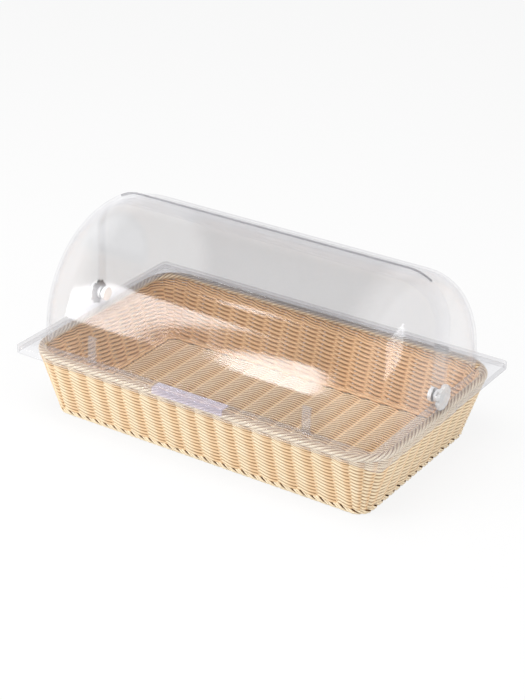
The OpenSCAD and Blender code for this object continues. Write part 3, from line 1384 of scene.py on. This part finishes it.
@dataclass
class RollCover:
    """One quarter-round cover: a drum with round shoulders, cut by two planes.

    The two cuts, start and end, are angles about the pivot that depend on the radius. Outside
    that band the flat end walls reach as far as edge says, sampled at the angles in rays.
    """

    name: str
    half: float
    radius: float
    shoulder: float
    bore: float
    start: Callable[[float], float]
    end: Callable[[float], float]
    edge: Callable[[float], float]
    rays: Sequence[float]
    dark_rim_y: float | None = None
    dark_rim_stop: float = 0.03
    dark_rim_reach: float = 0.0005
    axis_z: float = PIVOT_Z
    wall: float = 0.003
    across: int = 64
    shoulder_steps: int = 14
    straight_steps: int = 8
    inner_rings: int = 5
    rounding: float = 0.0005
    rounding_angle: float = 60.0

    def _profile(self, shrink: float) -> list[tuple[float, float]]:
        """Works out the drum's outline.

        Args:
            shrink: how far it lies inside the outer skin.

        Returns:
            Its points, as distance along the axis and radius.
        """
        half, shoulder = self.half - shrink, self.shoulder - shrink
        flat = self.radius - self.shoulder
        turns = np.linspace(math.pi / 2, 0.0, self.shoulder_steps + 1)
        rising = [
            (shoulder * (1 - math.sin(a)) - half, flat + shoulder * math.cos(a)) for a in turns
        ]
        stations = np.linspace(shoulder - half, half - shoulder, self.straight_steps + 1)
        straight = [(x, flat + shoulder) for x in stations[1:-1]]
        return rising + straight + [(-x, r) for x, r in reversed(rising)]

    def _surface(self, shrink: float) -> tuple[list[Point], list[list[int]]]:
        """Makes one skin of the cover.

        Args:
            shrink: how far it lies inside the outer skin.

        Returns:
            Its points and faces, numbered alike for every shrink.
        """
        points: list[Point] = []
        faces: list[list[int]] = []

        def point(x: float, r: float, angle: float) -> int:
            """Adds a point and returns its number."""
            points.append((x, r * math.cos(angle), self.axis_z + r * math.sin(angle)))
            return len(points) - 1

        def band(r: float) -> list[float]:
            """Returns the angles of the drum's columns at a radius."""
            first, last = self.start(r), self.end(r)
            return [first + (last - first) * j / self.across for j in range(self.across + 1)]

        rows = [[point(x, r, a) for a in band(r)] for x, r in self._profile(shrink)]
        for low, high in zip(rows, rows[1:]):
            for j in range(self.across):
                faces.append([low[j], low[j + 1], high[j + 1], high[j]])
        flat = self.radius - self.shoulder
        for x, row in ((-self.half + shrink, rows[0]), (self.half - shrink, rows[-1])):
            columns = []
            for angle, outer in [*zip(band(flat), row), *((a, None) for a in self.rays)]:
                reach = flat if outer is not None else self.edge(angle)
                column = [outer if outer is not None else point(x, reach, angle)]
                for k in range(1, self.inner_rings + 1):
                    share = k / self.inner_rings
                    column.append(point(x, reach + (self.bore - reach) * share, angle))
                columns.append(column)
            for left, right in zip(columns, columns[1:] + columns[:1]):
                for k in range(self.inner_rings):
                    faces.append([left[k], right[k], right[k + 1], left[k + 1]])
        return points, faces

    def build(self) -> bpy.types.Object:
        """Makes the cover: both skins, joined by rims along every open edge.

        Returns:
            The cover, whose dark rim takes the second of its two materials.
        """
        outer, faces = self._surface(0.0)
        inner, _ = self._surface(self.wall)
        count = len(outer)
        uses: dict[tuple[int, int], list[tuple[int, int]]] = {}
        for face in faces:
            for a, b in zip(face, face[1:] + face[:1]):
                uses.setdefault((min(a, b), max(a, b)), []).append((a, b))
        everything = faces + [[count + i for i in reversed(face)] for face in faces]
        for sides in uses.values():
            if len(sides) == 1:
                a, b = sides[0]
                everything.append([b, a, count + a, count + b])
        mesh = mesh_of(self.name, outer + inner, everything)
        for face in list(mesh.polygons)[2 * len(faces) :]:
            x, y, z = face.center
            upper = z > self.axis_z and abs(x) < self.half - self.dark_rim_stop
            if self.dark_rim_y is not None and upper:
                face.material_index = int(abs(y - self.dark_rim_y) < self.dark_rim_reach)
        return rounded(self.name + "_shell", mesh, self.rounding, 2, self.rounding_angle)


def front_roll_cover() -> RollCover:
    """Plans the front cover: all that lies ahead of its rear edge and above the frame.

    Returns:
        The cover, whose end walls reach round behind the pivots.
    """
    radius, shoulder, lap, foot = 0.150, 0.060, 0.012, 0.0165
    down, whole = 1.5 * math.pi, 2 * math.pi
    samples, behind_samples, turn_clear = 26, 16, 0.004

    def edge(angle: float) -> float:
        """Works out how far the end wall reaches outside the drum's band.

        Args:
            angle: the direction from the pivot.

        Returns:
            The distance: to the rear edge, to the foot, or round behind the pivot.
        """
        turn = angle % whole
        if turn < math.pi / 2:
            return lap / math.cos(turn)
        if turn <= down:
            return foot / math.sin(turn - math.pi)
        return lap

    band_end = math.pi + math.asin(foot / (radius - shoulder))
    band_start = math.acos(lap / (radius - shoulder))
    rays = [
        *np.linspace(band_end, down, samples)[1:],
        *np.linspace(down + turn_clear, whole, behind_samples),
        *(whole + np.linspace(0.0, band_start, samples)[1:-1]),
    ]
    return RollCover(
        name="front_cover",
        half=0.255,
        radius=radius,
        shoulder=shoulder,
        bore=0.00408,
        start=lambda r: math.acos(lap / r),
        end=lambda r: math.pi + math.asin(foot / r),
        edge=edge,
        rays=rays,
        dark_rim_y=lap,
    )


def rear_roll_cover() -> RollCover:
    """Plans the rear cover: all that lies behind its front edge and above the frame.

    Returns:
        The cover.
    """
    radius, shoulder, lap, foot = 0.144, 0.054, 0.010, 0.0165
    corner, samples = math.pi + math.atan2(foot, lap), 30

    def edge(angle: float) -> float:
        """Works out how far the end wall reaches outside the drum's band.

        Args:
            angle: the direction from the pivot.

        Returns:
            The distance, to the front edge or to the foot.
        """
        turn = angle % (2 * math.pi)
        if turn < corner:
            return -lap / math.cos(turn)
        return -foot / math.sin(turn)

    band_end = math.pi / 2 + math.asin(lap / (radius - shoulder))
    band_start = 2 * math.pi - math.asin(foot / (radius - shoulder))
    rays = [
        *np.linspace(band_end, corner, samples)[1:],
        *np.linspace(corner, band_start, samples)[1:-1],
    ]
    return RollCover(
        name="rear_cover",
        half=0.249,
        radius=radius,
        shoulder=shoulder,
        bore=0.00405,
        start=lambda r: -math.asin(foot / r),
        end=lambda r: math.pi / 2 + math.asin(lap / r),
        edge=edge,
        rays=rays,
    )


@dataclass
class CoverFrame:
    """The clear frame that lies on the basket, with its lip and its two end pads."""

    half_x: float = 0.265
    half_y: float = 0.1625
    corner: float = 0.006
    lip_low: float = 0.088
    top: float = 0.098
    plate: float = 0.003
    plate_width: float = 0.024
    lip: float = 0.0025
    pad_half: float = 0.022
    pad_out: float = 0.0012
    steps: int = 8
    rounding: float = 0.0007

    def _loop(self, inset: float, radius: float, z: float) -> list[Point]:
        """Makes one loop with round corners.

        Args:
            inset: how far its corner centres lie inside the outer ones.
            radius: its corners' radius.
            z: its height.

        Returns:
            Its points.
        """
        cx, cy = self.half_x - self.corner - inset, self.half_y - self.corner - inset
        points = []
        for quarter, (sx, sy) in enumerate(((1, -1), (1, 1), (-1, 1), (-1, -1))):
            for i in range(self.steps + 1):
                angle = math.pi / 2 * (quarter - 1 + i / self.steps)
                x, y = radius * math.cos(angle), radius * math.sin(angle)
                points.append((sx * cx + x, sy * cy + y, z))
        return points

    def build(self) -> bpy.types.Object:
        """Makes the frame as one closed ring, with the pads united to it.

        Returns:
            The frame.
        """
        low, top, under = self.lip_low, self.top, self.top - self.plate
        loops = [
            self._loop(0.0, self.corner, low),
            self._loop(0.0, self.corner, top),
            self._loop(self.plate_width, self.corner, top),
            self._loop(self.plate_width, self.corner, under),
            self._loop(0.0, self.corner - self.lip, under),
            self._loop(0.0, self.corner - self.lip, low),
        ]
        ring = new_object("frame_ring", lofted("frame_ring", loops, ring=True))
        for side in (-1, 1):
            near, far = side * (self.half_x - self.lip / 2), side * (self.half_x + self.pad_out)
            corners = [
                (x, y, z)
                for x in (near, far)
                for y in (-self.pad_half, self.pad_half)
                for z in (low, top)
            ]
            quads = [[0, 1, 3, 2], [4, 6, 7, 5], [0, 4, 5, 1]]
            quads += [[2, 3, 7, 6], [0, 2, 6, 4], [1, 5, 7, 3]]
            pad = new_object("frame_pad", mesh_of("frame_pad", corners, quads))
            union = ring.modifiers.new("pad", "BOOLEAN")
            union.operation = "UNION"
            union.solver = "EXACT"
            union.object = pad
            ring = plain_copy(ring, "frame_ring")
            bpy.data.objects.remove(pad)
        mesh = ring.data.copy()
        bpy.data.objects.remove(ring)
        return rounded("base_frame_lipped", mesh, self.rounding, segments=3)


@dataclass
class LiftHandle:
    """The grip ledge on the front cover's lower edge."""

    half: float = 0.051
    front: float = -0.1655
    root: float = -0.1497
    thickness: float = 0.0025
    low: float = 0.096
    top: float = 0.105
    rounding: float = 0.0007

    def build(self) -> bpy.types.Object:
        """Makes the ledge and its apron from one bent outline.

        Returns:
            The handle.
        """
        t = self.thickness
        outline = [
            (self.front, self.low),
            (self.front, self.top),
            (self.root, self.top),
            (self.root, self.top - t),
            (self.front + t, self.top - t),
            (self.front + t, self.low),
        ]
        loops = [[(x, y, z) for y, z in outline] for x in (-self.half, self.half)]
        mesh = lofted("lift_handle", loops)
        return rounded("lift_handle_ledge", mesh, self.rounding, segments=3)


@dataclass
class PivotKnob:
    """A scalloped clear knob with its shaft."""

    side: int
    axis_z: float = PIVOT_Z
    inner: float = 0.2554
    thickness: float = 0.005
    radius: float = 0.0165
    scallops: int = 10
    depth: float = 0.0021
    shaft: float = 0.004
    shaft_start: float = 0.24095
    seam: float = 1e-4
    edge_angle: float = 40.0
    around: int = 120

    def _reach(self, share: float, wavy: float, angle: float) -> float:
        """Works out how far one of the head's rings reaches.

        Args:
            share: the ring's radius, as a share of the head's.
            wavy: how much of the scallops' depth it follows.
            angle: the direction.

        Returns:
            The distance from the axis.
        """
        wave = max(0.0, math.cos(self.scallops * angle)) ** 1.5
        rim = self.radius - self.depth * wave
        return self.radius * share * (1 + wavy * (rim / self.radius - 1))

    def build(self) -> bpy.types.Object:
        """Makes the knob: shaft, back, scalloped rim, ring groove and hollow middle.

        Returns:
            The knob, whose shaft takes the second of its two materials.
        """
        back, front = self.inner, self.inner + self.thickness
        shaft = self.shaft / self.radius
        # Each ring's place along the axis, its share of the head's radius and of the scallops.
        rings = [
            (self.shaft_start, shaft, 0.0),
            (back, shaft, 0.0),
            (back, 0.9, 0.85),
            (back + 0.0006, 0.99, 1.0),
            (back + 0.0022, 1.0, 1.0),
            (front - 0.0012, 0.985, 1.0),
            (front - 0.0004, 0.94, 0.9),
            (front, 0.84, 0.7),
            (front, 0.66, 0.25),
            (front - 0.0009, 0.58, 0.1),
            (front - 0.0009, 0.42, 0.0),
            (front - 0.0001, 0.33, 0.0),
            (front - 0.0001, 0.2, 0.0),
            (front - 0.0012, 0.12, 0.0),
        ]
        angles = [2 * math.pi * i / self.around for i in range(self.around)]
        loops = []
        for x, share, wavy in rings:
            loop = []
            for a in angles:
                r = self._reach(share, wavy, a)
                loop.append((self.side * x, r * math.cos(a), self.axis_z + r * math.sin(a)))
            loops.append(loop)
        name = "pivot_knob_left_head" if self.side < 0 else "pivot_knob_right_head"
        made = new_object(name, lofted(name, loops))
        for face in made.data.polygons:
            face.material_index = int(abs(face.center[0]) < self.inner - self.seam)
        shade(made, self.edge_angle)
        return made


class Cover:
    """The whole clear cover on its frame."""

    def build(self, finishes: Finishes) -> None:
        """Makes the clear pieces and seats them in the place of their solids.

        Args:
            finishes: the bin's materials.
        """
        front = front_roll_cover().build()
        paint(front, finishes.cover, finishes.cut_edge)
        place_piece(front, Body.FRONT_SHELL, Slot.CLEAR_COVER, "front_cover")
        handle = LiftHandle().build()
        paint(handle, finishes.handle)
        place_piece(handle, Body.FRONT_SHELL, Slot.HANDLE, "lift_handle")
        rear = rear_roll_cover().build()
        paint(rear, finishes.rear_cover)
        place_piece(rear, Body.COVER_FRAME, Slot.CLEAR_COVER, "rear_cover")
        base = CoverFrame().build()
        paint(base, finishes.frame)
        place_piece(base, Body.COVER_FRAME, Slot.CLEAR_FRAME, "base_frame")
        for side, node, head in (
            (-1, "pivot_knob_left", finishes.nut),
            (1, "pivot_knob_right", finishes.knob),
        ):
            knob = PivotKnob(side).build()
            paint(knob, head, finishes.nut)
            place_piece(knob, Body.COVER_FRAME, Slot.CLEAR_KNOB, node)
        dress_node("front_guides", finishes.guide)
        for part in ("washer", "nut"):
            for side in ("left", "right"):
                dress_node(f"pivot_{part}_{side}", finishes.nut)


# Placing ------------------------------------------------------------------------------------


def paint(piece: bpy.types.Object, *finishes: bpy.types.Material) -> None:
    """Gives a piece its materials, and keeps which face takes which.

    Args:
        piece: the piece.
        finishes: its materials in order.
    """
    slots = piece.data.materials
    while len(slots) > len(finishes):
        slots.pop()
    for place, finish in enumerate(finishes):
        if place < len(slots):
            slots[place] = finish
        else:
            slots.append(finish)


def dress_node(node: str, finish: bpy.types.Material) -> None:
    """Gives a solid's own mesh its material."""
    paint(frame["nodes"][node], finish)
    log.info("%s keeps its solid, in %s", node, finish.name)


def place_piece(piece: bpy.types.Object, body: Body, slot: Slot, *nodes: str) -> None:
    """Seats a piece on its body in the place of solids.

    Args:
        piece: the piece.
        body: the body that it rides on.
        slot: not used.
        nodes: the solids that it stands for.
    """
    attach(piece, body.value)
    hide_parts(*nodes)
    triangles = sum(len(p.vertices) - 2 for p in piece.data.polygons)
    log.info("%s: %d triangles for %s", piece.name, triangles, ", ".join(nodes))


# Studio -------------------------------------------------------------------------------------


@dataclass(frozen=True)
class Softbox:
    """A soft lamp that looks at a point, and may show in the gloss or not."""

    name: str
    place: Point
    size: tuple[float, float]
    power: float
    target: Point = (0.0, 0.0, 0.1)
    mirrored: bool = True
    shape: LampShape = LampShape.RECTANGLE

    def build(self) -> None:
        """Puts the lamp into the scene."""
        lamp = bpy.data.lights.new(self.name, "AREA")
        lamp.shape = self.shape.value
        lamp.size, lamp.size_y = self.size
        lamp.energy = self.power
        made = new_object(self.name, lamp)
        made.location = self.place
        aim = Vector(self.target) - Vector(self.place)
        made.rotation_mode = "QUATERNION"
        made.rotation_quaternion = aim.to_track_quat("-Z", "Y")
        made.visible_glossy = self.mirrored


@dataclass(frozen=True)
class Camera:
    """A camera that sees the bin from where the photograph does, with the same lens."""

    place: Point = (1.15589, -1.83445, 1.18675)
    ahead: Point = (-0.49014, 0.74168, -0.45789)
    up: Point = (-0.26656, 0.37261, 0.88888)
    lens: float = 99.0
    sensor: float = 36.0
    shift: tuple[float, float] = (0.0561, 0.0315)
    sight: float = 30.0

    def build(self) -> None:
        """Puts the camera into the scene."""
        lens = bpy.data.cameras.new("camera")
        lens.sensor_width = self.sensor
        lens.lens = self.lens
        lens.shift_x, lens.shift_y = self.shift
        lens.clip_end = self.sight
        made = new_object("camera", lens)
        ahead = Vector(self.ahead).normalized()
        right = ahead.cross(Vector(self.up)).normalized()
        up = right.cross(ahead)
        turn = Matrix((right, up, -ahead)).transposed()
        made.matrix_world = Matrix.Translation(self.place) @ turn.to_4x4()
        bpy.context.scene.camera = made


class Studio:
    """White floor, white surroundings and soft lamps."""

    LAMPS = (
        Softbox("key_lamp", (-1.5, -1.6, 1.7), size=(1.4, 1.2), power=12.0, mirrored=False),
        Softbox("fill_lamp", (2.3, -0.3, 1.3), size=(1.2, 1.6), power=21.0),
        Softbox("top_lamp", (-0.1, -0.6, 2.2), size=(1.8, 1.2), power=37.5, mirrored=False),
        Softbox(
            "left_window",
            (-1.41, -1.90, 0.7),
            size=(0.4, 1.7),
            power=16.5,
            target=(-0.1, -0.1, 0.15),
        ),
        Softbox(
            "right_window",
            (-0.88, -2.05, 0.4),
            size=(0.31, 1.1),
            power=7.8,
            target=(0.1, -0.1, 0.15),
            shape=LampShape.ELLIPSE,
        ),
        Softbox(
            "high_window",
            (-1.07, -1.24, 1.88),
            size=(0.11, 0.2),
            power=0.4,
            target=(0.05, -0.11, 0.22),
            shape=LampShape.ELLIPSE,
        ),
    )
    # Where gloss finds the surroundings dim: ahead, above the table and not far left, and
    # overhead, neither of them towards the right end.
    DIM_AHEAD, DIM_ABOVE, DIM_LEFT_END = (0.0, 0.4), (0.0, 0.25), (-0.74, -0.62)
    DIM_OVERHEAD, DIM_RIGHT_END = (0.58, 0.74), (-0.2, 0.05)
    AMBIENT = 0.5
    DIMMING = 0.7
    FLOOR_HALF = 4.0
    FLOOR_GREY = 0.7
    FLOOR_GLOW = 0.86

    @staticmethod
    def _seen(g: Graph) -> bpy.types.NodeSocket:
        """Returns 1 for rays that look at the background, straight or through a surface."""
        path = g.add("ShaderNodeLightPath").outputs
        seen = g.maths("MAXIMUM", path["Is Camera Ray"], path["Is Glossy Ray"])
        return g.maths("MAXIMUM", seen, path["Is Transmission Ray"])

    def world(self) -> None:
        """Makes the surroundings: white to look at, dim in gloss ahead and overhead."""
        made = bpy.data.worlds.new("white_surroundings")
        bpy.context.scene.world = made
        made.use_nodes = True
        made.node_tree.nodes.clear()
        g = Graph(made.node_tree)
        way = g.add("ShaderNodeTexCoord").outputs["Generated"]
        axes = g.add("ShaderNodeSeparateXYZ", {0: way}).outputs
        across, rear, up = axes["X"], axes["Y"], axes["Z"]
        front, left = (g.maths("MULTIPLY", axis, -1.0) for axis in (rear, across))
        ahead = g.ramp(front, *self.DIM_AHEAD)
        ahead = g.maths("MULTIPLY", ahead, g.ramp(up, *self.DIM_ABOVE))
        ahead = g.maths("MULTIPLY", ahead, g.ramp(across, *self.DIM_LEFT_END))
        dim = g.maths("MAXIMUM", ahead, g.ramp(up, *self.DIM_OVERHEAD))
        dim = g.maths("MULTIPLY", dim, g.ramp(left, *self.DIM_RIGHT_END))
        glossy = g.add("ShaderNodeLightPath").outputs["Is Glossy Ray"]
        dim = g.maths("MULTIPLY", dim, glossy)
        strength = g.maths("MULTIPLY_ADD", self._seen(g), 1.0 - self.AMBIENT, self.AMBIENT)
        strength = g.maths("MULTIPLY_ADD", dim, -self.DIMMING, strength)
        light = g.add("ShaderNodeBackground", {"Color": (1, 1, 1, 1), "Strength": strength})
        g.add("ShaderNodeOutputWorld", {"Surface": light.outputs[0]})

    def floor(self) -> None:
        """Makes the floor, which looks white and keeps the shadow."""
        half = self.FLOOR_HALF
        points = [(-half, -half, 0), (half, -half, 0), (half, half, 0), (-half, half, 0)]
        mesh = bpy.data.meshes.new("floor")
        mesh.from_pydata(points, [], [(0, 1, 2, 3)])
        made = new_object("floor", mesh)
        finish, g = new_material("white_floor")
        matt = g.add("ShaderNodeBsdfDiffuse", {"Color": rgba((self.FLOOR_GREY,) * 3)})
        glow = g.add("ShaderNodeEmission", {"Color": rgba((1.0, 1.0, 1.0)), "Strength": 1.0})
        share = g.maths("MULTIPLY", self._seen(g), self.FLOOR_GLOW)
        both = {0: share, 1: matt.outputs[0], 2: glow.outputs[0]}
        g.surface(g.add("ShaderNodeMixShader", both))
        made.data.materials.append(finish)

    def build(self) -> None:
        """Sets up the whole studio."""
        self.world()
        self.floor()
        for lamp in self.LAMPS:
            lamp.build()
        Camera().build()
        bpy.context.scene.view_settings.view_transform = "Standard"


def main() -> None:
    """Builds the bin and its studio."""
    logging.basicConfig(level=logging.INFO, format="%(name)s: %(message)s")
    finishes = build_finishes()
    Basket(BasketRing()).build(finishes)
    Cover().build(finishes)
    Studio().build()


if __name__ == "__main__":
    main()
